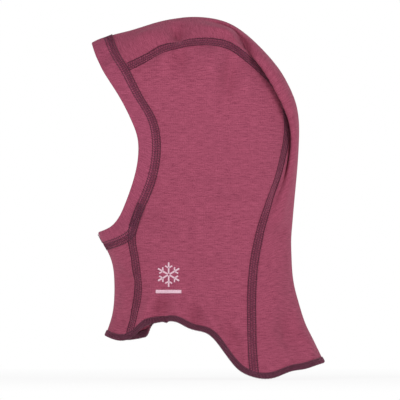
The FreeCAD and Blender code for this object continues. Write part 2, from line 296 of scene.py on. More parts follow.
# soft dents and swells of the cloth: height, centre, sizes, turn
SWELLS = [
    # forehead and crown
    (-1.8, (-94, 60), (6, 10), -25), (2.6, (-43, 64), (9, 20), 4), (-3.0, (-24, 64), (7, 22), 4),
    (2.2, (4, 54), (10, 22), -4), (-2.8, (22.5, 39), (7, 23), -9), (1.6, (40, 34), (10, 18), -20),
    (2.0, (-56, 76), (11, 7), 18), (-2.4, (-27, 82), (6, 9), 5), (1.6, (20, 81), (9, 6), -25),
    # side of the head
    (1.0, (-20, 8), (20, 22), 0), (-0.9, (-2, -20), (10, 26), 12), (0.9, (28, -30), (16, 26), -8),
    (-0.5, (19, -76), (40, 5), 3), (0.5, (19, -87), (38, 6), 3), (-0.5, (-18, -60), (24, 5), -8),
    (-1.2, (-51, -96), (7, 14), -25), (0.8, (-36, -92), (10, 18), -18),
    # back of the neck
    (-2.2, (67, -70), (4.5, 26), -16), (1.4, (75, -72), (5, 24), -14), (1.3, (69, -94), (9, 6), 10),
    (-1.6, (71, -106), (10, 6), 8), (1.2, (66, -168), (9, 20), 6), (-4.2, (78, -196), (11, 17), 14),
    (3.4, (98, -208), (8, 16), 25),
    # lower side panel
    (2.6, (-54, -179), (5.5, 15), -17), (-2.6, (-41, -174), (6, 15), -10), (2.2, (-26, -180), (7, 12), 0),
    (-2.6, (-9, -186), (6, 13), 8), (2.6, (7, -188), (6.5, 19), 33), (-2.3, (24, -203), (6.5, 16), 30),
    (1.8, (38, -216), (6, 16), 16), (-1.2, (8, -140), (34, 8), 10),
    # throat
    (1.4, (-78, -137), (12, 7), -20), (-1.9, (-73, -150), (13, 6), -24), (1.8, (-81, -168), (11, 8), -14),
    (-1.8, (-78, -186), (12, 7), -12), (-1.2, (-82, -105), (9, 5), -22),
]
DENT_DEPTH = 2.3
# the right half's dents are the left half's, moved and turned a little so that the halves differ
RIGHT_SHIFT = (7, -9)
RIGHT_TURN = 9

# The tuck beside the crown seam: spare cloth of the centre strip folds over towards the
# seam. Columns: length along the seam, how far in from the outline the fold's edge lies,
# how far the fold and the valley behind it stand from the middle plane, how much of it shows.
TUCK = np.array([
    (98, 9.0, 35, 33, 0.0), (110, 9.8, 38, 32, 0.45), (120, 10.6, 44, 30, 0.95), (135, 12.2, 49, 31, 1.0),
    (152, 13.4, 52, 32, 1.0), (168, 13.4, 51, 31, 1.0), (183, 11.8, 48, 30, 1.0), (198, 8.6, 44, 28, 1.0),
    (209, 7.0, 41, 26, 1.0), (219, 6.6, 39, 26, 0.95), (230, 7.2, 37, 26, 0.8), (243, 8.6, 36, 28, 0.5),
    (258, 9.8, 36, 30, 0.2), (276, 10.5, 38, 34, 0.0),
])

# how much lower the right half of the hem hangs at the front, by place from front to back
FLAP = np.array([
    (-84, 0), (-77, 0), (-68, 3.0), (-60.5, 8.0), (-54, 11.4), (-50, 10.0), (-46, 4.5), (-42, 0), (-38, 0),
])


def catmull(knots, values, at):
    """Smooth curve through a row of values."""
    slope = np.gradient(values, knots)
    i = np.clip(np.searchsorted(knots, at) - 1, 0, len(knots) - 2)
    step = knots[i + 1] - knots[i]
    t = (at - knots[i]) / step
    first = (1 + 2 * t) * (1 - t) ** 2 * values[i] + t * (1 - t) ** 2 * step * slope[i]
    return first + t * t * (3 - 2 * t) * values[i + 1] + t * t * (t - 1) * step * slope[i + 1]


def tuck_shift(y, z, side, left):
    """Shift of each place by the folded-over cloth of the centre strip."""
    seam_gap = chart.read("crown_seam", y, z)
    inside = np.maximum(chart.read("crown", y, z), 0.0)
    travel = chart.read("crown_seam_share", y, z) * CROWN_SEAM.length
    edge, crest, valley, strength = [np.interp(travel, TUCK[:, 0], TUCK[:, k]) for k in range(1, 5)]
    free = np.maximum(seam_gap - TAPE_HALF, 0.0)
    room = np.maximum(inside + free, 1.0)
    share = np.clip(inside / room, 0, 1)
    # curves over the share of the way from the outline to the seam
    knots = np.array([0, 0.16, 0.33, 0.48, 0.60, 0.71, 0.82, 0.91, 1.0])
    rise = np.array([0, 0.52, 0.82, 0.97, 1.0, 0.92, 0.30, 0.0, 0.0])
    from_fold = catmull(knots, rise, share)
    to_seam = catmull(knots, np.array([0, 0, 0, 0, 0, 0, 0, 0.05, 1.0]), share)
    floor_part = catmull(knots, np.array([0, 0, 0, 0, 0, 0.05, 0.70, 0.95, 0.0]), share)
    end_share = np.minimum(room / BACK_ROUNDING, 1)
    start_share = np.minimum(inside / BACK_ROUNDING, 1)
    end_x = HEAD_HALF_WIDTH * np.sqrt(1 - (1 - end_share) ** 2)
    now_x = HEAD_HALF_WIDTH * np.sqrt(1 - (1 - start_share) ** 2)
    new_x = crest * from_fold + valley * floor_part + end_x * to_seam
    run = catmull(knots, np.array([0, 0.05, 0.20, 0.48, 0.78, 1.0, 0.55, 0.20, 0.0]), share)
    back = catmull(knots, np.array([0, 0, 0, 0, 0, 0, 0.40, 0.76, 1.0]), share)
    new_inside = edge * run + room * back
    active = strength * (0.6 + 0.4 * left) * smooth_step((seam_gap - TAPE_HALF) / 0.6)
    shift = np.zeros((len(y), 3))
    shift[:, 0] = side * active * (new_x - now_x)
    inward_y = -chart.read("normal_y", y, z)
    inward_z = -chart.read("normal_z", y, z)
    flat = np.maximum(np.hypot(inward_y, inward_z), 1e-6)
    pull = active * (new_inside - inside)
    shift[:, 1] = pull * inward_y / flat
    shift[:, 2] = pull * inward_z / flat
    return shift


def warp(points):
    """Moves places on the plain surface to where they lie on the dented, folded cloth."""
    shape = points.shape
    points = points.reshape(-1, 3)
    x, y, z = points.T
    side = np.tanh(x / 7)
    left = smooth_step((x + 6) / 12)
    normal = np.stack([chart.read(n, y, z) for n in ("normal_x", "normal_y", "normal_z")], axis=1)
    normal[:, 0] *= side
    normal = unit(normal)

    height = np.zeros(len(points))
    for rise, centre, sizes, turn in SWELLS:
        height += rise * spread(y, z, centre, sizes, turn) * (0.25 + 0.75 * left)
        opposite = (centre[0] + RIGHT_SHIFT[0], centre[1] + RIGHT_SHIFT[1])
        height += 0.7 * rise * spread(y, z, opposite, sizes, turn + RIGHT_TURN) * (1 - left)
    height *= DENT_DEPTH * (0.15 + 0.85 * smooth_step(np.abs(chart.read("throat", y, z)) / 12))
    height *= 0.15 + 0.85 * smooth_step(chart.read("crown", y, z) / 9)
    steep = smooth_step((normal[:, 2] - 0.15) / 0.35)
    height *= 1 - 0.95 * steep * bump(chart.read("crown_seam", y, z) / 7)

    # the cloth sinks a little along each seam and puckers beside it
    for name, line in (("crown_seam", CROWN_SEAM), ("band_seam", BAND_SEAM), ("throat_seam", THROAT_SEAM)):
        away = chart.read(name, y, z)
        travel = chart.read(name + "_share", y, z) * line.length
        height -= 0.45 * bump(away / 4.4)
        ripple = np.sin(2 * math.pi * travel / 7.3 + 1.3 * np.sin(travel / 11.0))
        height += 0.20 * ripple * bump((np.abs(away) - 6.0) / 3.4)

    # the loose hem waves in and out
    hem_gap = np.abs(chart.read("hem", y, z))
    hem_travel = chart.read("hem_share", y, z) * HEM.length
    wave = 1.5 * np.sin(hem_travel / 12.5 + 0.6) + 1.0 * np.sin(hem_travel / 7.4 + 2.0 + side)
    height += wave * np.exp(-hem_gap / 17) * (0.45 + 0.55 * np.abs(side))

    # broad unevenness, calm near the outline of the crown
    calm = smooth_step(chart.read("crown", y, z) / 16)
    for size, swell, phase in ((17.0, 0.30, 0.4), (29.0, 0.45, 1.9), (43.0, 0.55, 3.1)):
        height += calm * swell * np.sin(y / size * 2.1 + phase + side) * np.sin(z / size * 2.6 + 2 * phase)
        height += calm * 0.6 * swell * np.sin((y + 1.7 * z) / size * 1.8 + 3 * phase) * np.cos(x / size)

    # mostly sideways where the cloth stands upright, so that the seams keep their lines
    lean = (0.4 + 0.6 * steep)[:, None]
    moved = points + normal * np.hstack([np.ones_like(lean), lean, lean]) * height[:, None]
    moved += tuck_shift(y, z, side, left)

    # a fold line runs in from the crown outline to the start of the tuck
    across_fold = chart.read("fold", y, z)
    travel = chart.read("fold_share", y, z)
    strength = smooth_step(travel / 0.35) * (1 - smooth_step((travel - 0.78) / 0.22)) * (0.3 + 0.7 * left)
    fold = 5.0 * bump((across_fold + 3.2) / 3.2) - 13.0 * bump((across_fold - 2.2) / 2.7)
    moved[:, 0] += side * strength * fold

    # the hem's edge wanders up and down, puckers once, and hangs lower at the front right
    moved[:, 2] += 0.45 * np.sin(hem_travel / 5.1 + 1.0) * np.exp(-hem_gap / 5)
    pucker = bump((y + 36.5) / 2.0) * left
    moved[:, 2] -= 1.8 * pucker * np.exp(-hem_gap / 4)
    moved[:, 0] -= 1.0 * pucker * np.exp(-hem_gap / 9)
    low = catmull(FLAP[:, 0], FLAP[:, 1], np.clip(y, FLAP[0, 0], FLAP[-1, 0]))
    moved[:, 2] -= low * np.exp(-hem_gap / 22) * (1 - left)
    moved[:, 1] -= 4.5 * bump((y + 45) / 8) * np.exp(-hem_gap / 14) * (1 - left)
    return moved.reshape(shape)


# ---- mesh helpers


def grid_quads(rows, columns, start=0, closed=False, flip=False):
    """Faces of a point grid; a closed one joins its last column to its first."""
    i, j = mesh_of(np.arange(rows - 1), np.arange(columns if closed else columns - 1))
    k = (j + 1) % columns
    near, far = i * columns + start, (i + 1) * columns + start
    quads = np.stack([near + j, near + k, far + k, far + j], axis=-1).reshape(-1, 4)
    return quads[:, ::-1] if flip else quads


def scene_object(name, data):
    made = bpy.data.objects.new(name, data)
    bpy.context.scene.collection.objects.link(made)
    return made


def make_object(name, points, quads, uvs, materials, material_of):
    """Mesh object from millimetre points; uvs are one pair for each point."""
    mesh = bpy.data.meshes.new(name)
    mesh.vertices.add(len(points))
    mesh.vertices.foreach_set("co", (points * 0.001).astype(np.float32).ravel())
    mesh.loops.add(quads.size)
    mesh.loops.foreach_set("vertex_index", quads.astype(np.int32).ravel())
    mesh.polygons.add(len(quads))
    mesh.polygons.foreach_set("loop_start", np.arange(0, quads.size, 4, dtype=np.int32))
    mesh.polygons.foreach_set("loop_total", np.full(len(quads), 4, dtype=np.int32))
    mesh.polygons.foreach_set("use_smooth", np.ones(len(quads), dtype=bool))
    for material in materials:
        mesh.materials.append(material)
    mesh.polygons.foreach_set("material_index", material_of.astype(np.int32))
    layer = mesh.uv_layers.new(name="UVMap")
    layer.data.foreach_set("uv", uvs[quads.ravel()].astype(np.float32).ravel())
    mesh.update()
    mesh.validate()
    return scene_object(name, mesh)


class Builder:
    """Collects point grids and thread tubes for one object."""

    def __init__(self):
        self.points = []
        self.quads = []
        self.uvs = []
        self.slots = []
        self.count = 0

    def add(self, points, quads, uvs, slot=0):
        self.points.append(points.reshape(-1, 3))
        self.quads.append(quads + self.count)
        self.uvs.append(uvs.reshape(-1, 2))
        self.slots.append(np.full(len(quads), slot))
        self.count += len(self.points[-1])

    def shell(self, outer, inner, uvs, slot=0, flip=False):
        """Closed sheet between two point grids."""
        rows, columns = outer.shape[:2]
        both = np.concatenate([outer.reshape(-1, 3), inner.reshape(-1, 3)])
        count = rows * columns
        rim = np.concatenate([
            np.arange(columns), np.arange(1, rows) * columns + columns - 1,
            (rows - 1) * columns + np.arange(columns - 2, -1, -1), np.arange(rows - 2, 0, -1) * columns,
        ])
        after = np.roll(rim, -1)
        edge = np.stack([after, rim, rim + count, after + count], axis=1)
        if flip:
            edge = edge[:, ::-1]
        near = grid_quads(rows, columns, 0, False, flip)
        far = grid_quads(rows, columns, count, False, not flip)
        self.add(both, np.concatenate([near, far, edge]), np.concatenate([uvs.reshape(-1, 2)] * 2), slot)

    def tubes(self, paths, normals, radius, slot, sides):
        """Round threads along many paths of one length; the ends are rounded off."""
        travel = unit(np.gradient(paths, axis=1))
        across = unit(np.cross(travel, normals))
        upright = np.cross(across, travel)
        turns = 2 * math.pi * np.arange(sides) / sides
        ring = across[:, :, None] * np.cos(turns)[:, None] + upright[:, :, None] * np.sin(turns)[:, None]
        steps = paths.shape[1]
        thin = np.ones(steps)
        thin[0] = thin[-1] = 0.35
        tube = paths[:, :, None] + ring * (radius * thin)[None, :, None, None]
        quads = grid_quads(steps, sides, 0, True)
        offsets = np.arange(len(paths)) * steps * sides
        quads = (quads[None] + offsets[:, None, None]).reshape(-1, 4)
        uvs = np.zeros(tube.shape[:3] + (2,))
        uvs[..., 0] = run_length(paths, 1)[:, :, None]
        uvs[..., 1] = np.arange(sides)[None, None] * (2 * math.pi * radius / sides)
        self.add(tube.reshape(-1, 3), quads, uvs, slot)

    def threads(self, track, starts, shape, radius, slot, sides):
        """One thread for each stitch start, all of one (along, across, height) shape."""
        shape = np.array(shape, float)
        along = np.clip(starts[:, None] + shape[None, :, 0], *track.limits)
        across = np.broadcast_to(shape[None, :, 1], along.shape)
        paths = track.place(along, across, shape[None, :, 2] + track.raised(along))
        self.tubes(warp(paths), unit(track.read(track.normal, along)), radius, slot, sides)

    def make(self, name, materials):
        return make_object(
            name, np.concatenate(self.points), np.concatenate(self.quads),
            np.concatenate(self.uvs), materials, np.concatenate(self.slots),
        )


# ---- materials


def fill(node, **values):
    """Sets input sockets by name, with an underscore for each space."""
    for name, value in values.items():
        node.inputs[name.replace("_", " ")].default_value = value


def new_material(name, roughness, sheen=0.0):
    material = bpy.data.materials.new(name)
    material.use_nodes = True
    shader = material.node_tree.nodes["Principled BSDF"]
    fill(shader, Roughness=roughness, Specular_IOR_Level=0.18, Sheen_Weight=sheen, Sheen_Roughness=0.45)
    return material, shader


class Nodes:
    """Short ways to add and join shader nodes."""

    def __init__(self, material):
        self.tree = material.node_tree

    def add(self, kind, **settings):
        node = self.tree.nodes.new(kind)
        for key, value in settings.items():
            setattr(node, key, value)
        return node

    def link(self, source, target):
        self.tree.links.new(source, target)

    def math(self, operation, a, b=0.0):
        node = self.add("ShaderNodeMath", operation=operation)
        for socket, value in zip(node.inputs, (a, b)):
            if isinstance(value, (int, float)):
                socket.default_value = value
            else:
                self.link(value, socket)
        return node.outputs[0]

    def times(self, a, b):
        return self.math("MULTIPLY", a, b)

    def plus(self, a, b):
        return self.math("ADD", a, b)

    def cloth_place(self):
        """Cloth coordinates in millimetres."""
        return self.add("ShaderNodeUVMap", uv_map="UVMap").outputs["UV"]

    def split(self, vector):
        node = self.add("ShaderNodeSeparateXYZ")
        self.link(vector, node.inputs[0])
        return node.outputs

    def noise(self, vector, scale, detail):
        node = self.add("ShaderNodeTexNoise")
        fill(node, Scale=scale, Detail=detail)
        self.link(vector, node.inputs["Vector"])
        return node.outputs["Fac"]

    def stretch(self, vector, scale):
        node = self.add("ShaderNodeMapping")
        fill(node, Scale=scale)
        self.link(vector, node.inputs["Vector"])
        return node.outputs["Vector"]

    def ramp(self, factor, stops):
        node = self.add("ShaderNodeValToRGB")
        ramp = node.color_ramp
        while len(ramp.elements) < len(stops):
            ramp.elements.new(0.5)
        for element, (position, colour) in zip(ramp.elements, stops):
            element.position = position
            element.color = colour
        self.link(factor, node.inputs["Fac"])
        return node.outputs["Color"]

    def mix(self, factor, a, b, blend="MIX"):
        node = self.add("ShaderNodeMix", data_type="RGBA", blend_type=blend)
        for socket, value in ((node.inputs[0], factor), (node.inputs[6], a), (node.inputs[7], b)):
            if isinstance(value, (int, float, tuple)):
                socket.default_value = value
            else:
                self.link(value, socket)
        return node.outputs[2]

    def bump(self, height, shader, strength, distance):
        node = self.add("ShaderNodeBump")
        fill(node, Strength=strength, Distance=distance)
        self.link(height, node.inputs["Height"])
        self.link(node.outputs["Normal"], shader.inputs["Normal"])


def srgb(red, green, blue):
    """Linear colour from 0-255 values."""
    values = np.array([red, green, blue]) / 255
    linear = np.where(values <= 0.04045, values / 12.92, ((values + 0.055) / 1.055) ** 2.4)
    return (*[float(v) for v in linear], 1.0)


def jersey(name, light, dark, tint):
    """Fine heather jersey: rows of small stitches across the cloth, darker and lighter yarns, and painted
    shade in the hollows of the stitches.
    """
    material, shader = new_material(name, 0.9, 0.10)
    nodes = Nodes(material)
    place = nodes.cloth_place()
    streaks = nodes.noise(nodes.stretch(place, (0.12, 0.95, 1.0)), 1.0, 3.0)
    yarns = nodes.noise(nodes.stretch(place, (0.75, 0.85, 1.0)), 1.3, 3.0)
    clouds = nodes.noise(nodes.stretch(place, (0.02, 0.03, 1.0)), 1.0, 2.0)
    courses = nodes.noise(nodes.stretch(place, (0.012, 0.22, 1.0)), 1.0, 3.0)
    base = nodes.ramp(streaks, [(0.29, dark), (0.71, light)])
    base = nodes.mix(0.45, base, nodes.ramp(yarns, [(0.35, dark), (0.65, light)]))
    base = nodes.mix(nodes.times(clouds, 0.22), base, tint)
    split = nodes.split(place)
    wale = nodes.math("FRACT", nodes.times(split["X"], 0.58))
    lean = nodes.math("ABSOLUTE", nodes.math("SUBTRACT", wale, 0.5))
    row = nodes.plus(nodes.times(split["Y"], 1.12), nodes.times(lean, 0.9))
    loops = nodes.math("SINE", nodes.times(row, 2 * math.pi))
    ribs = nodes.math("SINE", nodes.times(wale, math.pi))
    height = nodes.times(ribs, nodes.plus(nodes.times(loops, 0.35), 0.65))
    # painted shade: the colour is made darker where the knit's bump height is low, in the hollows between
    # the stitches; the course noise adds random darker and lighter rows
    shade = nodes.plus(nodes.times(height, 0.14), 0.83)
    shade = nodes.plus(shade, nodes.times(courses, 0.16))
    grey = nodes.add("ShaderNodeCombineColor")
    for socket in grey.inputs[:3]:
        nodes.link(shade, socket)
    base = nodes.mix(1.0, base, grey.outputs[0], "MULTIPLY")
    fuzz = nodes.noise(place, 3.1, 4.0)
    nodes.link(base, shader.inputs["Base Color"])
    nodes.bump(nodes.plus(height, nodes.times(fuzz, 0.9)), shader, 0.55, 0.00022)
    fill(shader, Sheen_Tint=srgb(232, 176, 196))
    return material


def thread(name, light, dark):
    """Bulk sewing thread with a fine twist along its length."""
    material, shader = new_material(name, 0.78, 0.18)
    nodes = Nodes(material)
    place = nodes.cloth_place()
    split = nodes.split(place)
    ply = nodes.plus(nodes.times(split["X"], 1.9), nodes.times(split["Y"], 1.2))
    twist = nodes.math("SINE", nodes.times(ply, 2 * math.pi))
    shade = nodes.noise(place, 1.4, 3.0)
    nodes.link(nodes.ramp(shade, [(0.28, dark), (0.72, light)]), shader.inputs["Base Color"])
    nodes.bump(twist, shader, 0.5, 0.00008)
    return material


def plain_cloth(name, light, dark, rows):
    """Smooth woven tape."""
    material, shader = new_material(name, 0.6, 0.1)
    nodes = Nodes(material)
    place = nodes.cloth_place()
    split = nodes.split(place)
    warp_yarns = nodes.math("SINE", nodes.times(split["X"], rows))
    weft_yarns = nodes.math("SINE", nodes.times(split["Y"], rows))
    shade = nodes.noise(place, 0.8, 3.0)
    nodes.link(nodes.ramp(shade, [(0.3, dark), (0.7, light)]), shader.inputs["Base Color"])
    nodes.bump(nodes.times(warp_yarns, weft_yarns), shader, 0.4, 0.00008)
    return material


def ink(name):
    """Thin transfer print that lets the knit show through."""
    material, shader = new_material(name, 0.62)
    nodes = Nodes(material)
    place = nodes.cloth_place()
    knit = nodes.noise(nodes.stretch(place, (0.8, 1.2, 1.0)), 1.5, 4.0)
    colour = nodes.ramp(knit, [(0.30, srgb(205, 158, 176)), (0.62, srgb(232, 200, 213))])
    nodes.link(colour, shader.inputs["Base Color"])
    nodes.bump(knit, shader, 0.5, 0.00012)
    return material


CLOTH = jersey("jersey", srgb(184, 90, 116), srgb(118, 43, 67), srgb(154, 76, 101))
BAND_CLOTH = jersey("band_jersey", srgb(184, 90, 118), srgb(118, 44, 69), srgb(154, 75, 101))
NEEDLE = thread("seam_thread_needle", srgb(102, 38, 66), srgb(70, 24, 44))
COVER = thread("seam_thread_cover", srgb(128, 60, 88), srgb(92, 38, 62))
GROUND = thread("seam_thread_ground", srgb(104, 54, 75), srgb(84, 40, 58))
HEM_THREAD = thread("hem_thread", srgb(128, 62, 88), srgb(92, 42, 62))
HEM_GROUND = thread("hem_ground", srgb(86, 38, 56), srgb(62, 26, 40))
LABEL = plain_cloth("label_tape", srgb(240, 238, 234), srgb(226, 223, 218), 14.0)
PRINT = ink("print_ink")

# ---- cloth panels


def between(line, first, last):
    """The stretch of a line from one share of it to another, as a function of its own share."""
    return lambda share: line.at(first + (last - first) * share)


def coons(u, v, top, bottom, left, right):
    """Side-view grid inside four lines; u runs along top and bottom, v along left and right."""
    u, v = u[..., None], v[..., None]
    across = top(u[..., 0]) * (1 - v) + bottom(u[..., 0]) * v
    down = left(v[..., 0]) * (1 - u) + right(v[..., 0]) * u
    zero, one = np.zeros(1), np.ones(1)
    upper = left(zero)[0] * (1 - u) + right(zero)[0] * u
    lower = left(one)[0] * (1 - u) + right(one)[0] * u
    return across + down - upper * (1 - v) - lower * v


def share_of(line, y, z):
    """How far along a line the nearest place to a point lies."""
    return float(line.locate(np.array([[y, z]], float))[1][0])


band_to_crown = share_of(BAND_SEAM, -76, 48)
band_to_throat = share_of(BAND_SEAM, -69.4, -106.5)
crown_from_band = share_of(CROWN, -91, 78.5)
throat_from_band = share_of(THROAT, -93.5, -118.5)
hem_at_throat = share_of(HEM, -71, -204.2)
hem_at_crown = share_of(HEM, 46.5, -241.2)
seam_turn = share_of(CROWN_SEAM, 68.8, 26.3)


def side_front(share):
    """Front edge of the side panel: band seam first, then throat seam."""
    upper = (band_to_throat - band_to_crown) * BAND_SEAM.length
    along = share * (upper + THROAT_SEAM.length)
    on_band = BAND_SEAM.at(band_to_crown + along / BAND_SEAM.length)
    on_throat = THROAT_SEAM.at((along - upper) / THROAT_SEAM.length)
    return np.where((along < upper)[..., None], on_band, on_throat)


def grain(grid):
    """Cloth coordinates in millimetres: length along the rows and down the columns."""
    centre_column = [grid.shape[1] // 2]
    across = run_length(grid, 1)
    across -= across[:, centre_column]
    middle = run_length(grid, 0)[:, centre_column]
    lean = 0.34 * smooth_step((-90 - grid[..., 2]) / 70) * smooth_step((grid[..., 1] - 20) / 40)
    down = middle + lean * (np.hypot(across, 20) - 20)
    return np.stack([across, -down], axis=-1)


def cloth_object(name, grid, uvs, material, flip=False):
    """Closed sheet of cloth on the folded surface of a plain grid."""
    middle = warp(grid)
    half = unit(np.cross(np.gradient(middle, axis=0), np.gradient(middle, axis=1))) * HALF_CLOTH
    if flip:
        half = -half
    if uvs is None:
        uvs = grain(middle)
    builder = Builder()
    builder.shell(middle + half, middle - half, uvs, 0, flip)
    return builder.make(name, [material])


def middle_grid(rows, columns, middle, seam, start, end):
    """Panel across the middle plane, from the right seam to the left one."""
    widest = math.radians(60)
    u, angle = mesh_of(np.linspace(0, 1, rows), widest * np.linspace(0, 1, columns + 1))
    v = (1 - np.cos(angle)) / (1 - math.cos(widest))
    places = coons(u, v, middle, seam, start, end)
    half = lift(places)
    half[:, 0, 0] = 0
    return np.concatenate([half[:, :0:-1] * MIRROR, half], axis=1)


crown_grid = middle_grid(
    330, 96, between(CROWN, crown_from_band, 1), between(CROWN_SEAM, 0, 1),
    between(BAND_SEAM, 0, band_to_crown), between(HEM, 1, hem_at_crown),
)
crown_back = cloth_object("crown_back", crown_grid, None, CLOTH)

throat_grid = middle_grid(
    80, 40, between(THROAT, throat_from_band, 1), between(THROAT_SEAM, 0, 1),
    between(BAND_SEAM, 1, band_to_throat), between(HEM, 0, hem_at_throat),
)
throat = cloth_object("throat", throat_grid, None, CLOTH, True)

v, u = mesh_of(np.linspace(0, 1, 230), np.linspace(0, 1, 150))
side_places = coons(
    u, v, between(CROWN_SEAM, 0, seam_turn), between(HEM, hem_at_throat, hem_at_crown),
    side_front, between(CROWN_SEAM, seam_turn, 1),
)
side_grid = lift(side_places)
left_side = cloth_object("left_side", side_grid, side_places, CLOTH)
right_side = cloth_object("right_side", side_grid * MIRROR, side_places + 7.0, CLOTH, True)

# ---- lines of places to sew along


class Track:
    """A seam line on the cloth: place, along, across and outward direction at each length."""

    def __init__(self, centre, across, normal):
        self.centre = centre
        self.across = across
        self.normal = normal
        self.travel = run_length(centre)
        self.length = self.travel[-1]
        self.limits = (0.0, self.length)
        self.lead = 0.0

    def raised(self, along):
        """Height at which the start of a seam rides over an earlier one."""
        return 0.55 * (1 - smooth_step((along - self.lead) / 8)) if self.lead else 0.0 * along

    def read(self, values, along):
        return np.stack([np.interp(along, self.travel, values[:, k]) for k in range(3)], axis=-1)

    def place(self, along, across, height):
        centre = self.read(self.centre, along)
        side = unit(self.read(self.across, along))
        normal = unit(self.read(self.normal, along))
        return centre + side * np.asarray(across)[..., None] + normal * np.asarray(height)[..., None]


def seam_track(line, sign):
    share = np.linspace(0, 1, 260)
    places = line.at(share)
    centre = lift(places)
    normal = outward(places)
    across = unit(np.cross(normal, np.gradient(centre, axis=0)))
    mirror = MIRROR if sign < 0 else np.ones(3)
    return Track(centre * mirror, across * mirror, normal * mirror)


def face_loop():
    """Round the face band from the chin up the left, over the forehead and down the right."""
    share = (1 - np.cos(np.linspace(0, math.pi, 181))) / 2
    seam, edge = lift(BAND_SEAM.at(share)), lift(FACE_EDGE.at(share))
    seam[[0, -1], 0] = edge[[0, -1], 0] = 0
    seam = np.concatenate([seam[::-1], seam[1:] * MIRROR])
    edge = np.concatenate([edge[::-1], edge[1:] * MIRROR])
    middle = (seam + edge) / 2
    closed = np.concatenate([middle[-2:-1], middle, middle[1:2]])
    travel = closed[2:] - closed[:-2]
    across = unit(edge - seam)
    normal = unit(np.cross(across, travel)) * -1
    width = np.linalg.norm(edge - seam, axis=1)
    return Track(seam, across, normal), width


face_track, band_width = face_loop()

# ---- face band


def fold_outline(reach, inside, thickness, middle, leg):
    """Places (along, height) round a layer folded over an edge: outer run, then inner run."""
    turns = np.linspace(math.pi / 2, -math.pi / 2, 11)
    legs = np.linspace(0, 1, leg)[:-1]
    runs = []
    for radius in (inside + thickness, inside):
        bend = np.stack([reach + radius * np.cos(turns), middle + radius * np.sin(turns)], axis=1)
        top = np.stack([reach * legs, np.full(leg - 1, middle + radius)], axis=1)
        low = np.stack([reach * legs[::-1], np.full(leg - 1, middle - radius)], axis=1)
        runs.append(np.concatenate([top, bend, low]))
    return runs


band = Builder()
sections, band_uvs = [], []
for length, width in zip(face_track.travel, band_width):
    reach = width - BAND_GAP
    section = []
    runs = fold_outline(reach, BAND_INSIDE, BAND_CLOTH_THICKNESS, BAND_MIDDLE, 14)
    for run in runs:
        off_middle = run[:, 1] - BAND_MIDDLE
        swell = BAND_SWELL * np.sin(np.clip(run[:, 0] / reach, 0, 1) * math.pi) * np.sign(off_middle)
        height = run[:, 1] + np.where(np.abs(off_middle) > 0.1, swell, 0)
        section.append(face_track.place(np.full(len(run), length), run[:, 0], height))
    sections.append(section)
    band_uvs.append(np.stack([run_length(runs[0]), np.full(len(run), length)], axis=1))
sections = np.array(sections)
sections[0, ..., 0] += BAND_END
sections[-1, ..., 0] -= BAND_END
band.shell(warp(sections[:, 0]), warp(sections[:, 1]), np.array(band_uvs), 0)
face_band = band.make("face_fold", [BAND_CLOTH])

# ---- flatlock seams


def ground_strip(builder, track, first, last, height, slot):
    """Thin bed of thread under the stitches."""
    along, across = mesh_of(np.linspace(first, last, int((last - first) / 2.0)), np.linspace(-4.1, 4.1, 5))
    outer, inner = [warp(track.place(along, across, height + rise + 0 * along)) for rise in (0.16, -0.12)]
    builder.shell(outer, inner, np.stack([along, across], axis=-1), slot)


def flatlock_cover(name, track, first, last):
    """Outer face of a flatlock: four needle rows under threads crossing on the slant."""
    builder = Builder()
    track.limits = (first, last)
    top = HALF_CLOTH + 0.10
    starts = np.arange(first, last - 0.5, STITCH)
    for number, row in enumerate(NEEDLE_ROWS):
        outer = number in (0, 3)
        lift_up = 0.40 if outer else 0.30
        shape = [
            (0.0, row, top), (0.35, row, top + 0.7 * lift_up), (0.95, row + 0.08, top + lift_up),
            (1.6, row + 0.05, top + 0.7 * lift_up), (STITCH, row, top),
        ]
        builder.threads(track, starts + 0.35 * number, shape, 0.42 if outer else 0.20, 0, 6)
    reach = NEEDLE_ROWS[3]
    run = 1.5 * STITCH
    starts = np.arange(first - run, last, STITCH)
    for lean in (1, -1):
        shape = []
        for step in range(9):
            share = step / 8
            height = top + 0.10 + 0.30 * math.sin(math.pi * share) + (0.10 if lean > 0 else 0.0)
            shape.append((run * share, lean * reach * (2 * share - 1), height))
        builder.threads(track, starts, shape, 0.22, 1, 5)
    return builder.make(name, [NEEDLE, COVER])


def flatlock_looper(name, track, first, last, depth):
    """Inner face of the same seam: three rows of loops under threads crossing on the slant."""
    builder = Builder()
    track.limits = (first, last)
    ground_strip(builder, track, first, last, -depth + 0.1, 2)
    starts = np.arange(first, last - STITCH, STITCH)
    for row in (-3.0, 0.0, 3.0):
        shape = [(0.0, row, -depth), (0.5 * STITCH, row, -depth - 0.4), (STITCH, row, -depth)]
        builder.threads(track, starts, shape, 0.26, 0, 5)
    for lean in (1, -1):
        shape = []
        for share in np.linspace(0, 1, 5):
            height = -depth - 0.12 - 0.28 * math.sin(math.pi * share)
            shape.append((0.5 * STITCH * share, lean * 3.0 * (2 * share - 1), height))
        builder.threads(track, starts, shape, 0.2, 1, 4)
    return builder.make(name, [NEEDLE, COVER, GROUND])


seam_objects = {}
end_gap = 0.4
whole = face_track.length
seam_objects["face_seam_cover"] = flatlock_cover("face_cover_threads", face_track, end_gap, whole - end_gap)
seam_objects["face_seam_looper"] = flatlock_looper(
    "face_looper_threads", face_track, end_gap, whole - end_gap, 2.55)
for side_name, sign in (("left", 1), ("right", -1)):
    seams = (
        ("crown", CROWN_SEAM, CROWN_SEAM, 3.4, 0.0), ("throat", THROAT_STITCH, THROAT_SEAM, 0.6, 20.0),
    )
    for seam_name, outer_line, inner_line, start, lead in seams:
        node = side_name + "_" + seam_name + "_seam_"
        track = seam_track(outer_line, sign)
        track.lead = lead
        seam_objects[node + "cover"] = flatlock_cover(
            node + "cover_threads", track, start, track.length - HEM_DEPTH + 2.0)
        track = seam_track(inner_line, sign)
        seam_objects[node + "looper"] = flatlock_looper(
            node + "looper_threads", track, 5.6, track.length - HEM_DEPTH - 0.6, HALF_CLOTH + 0.3)

# ---- overlocked hem


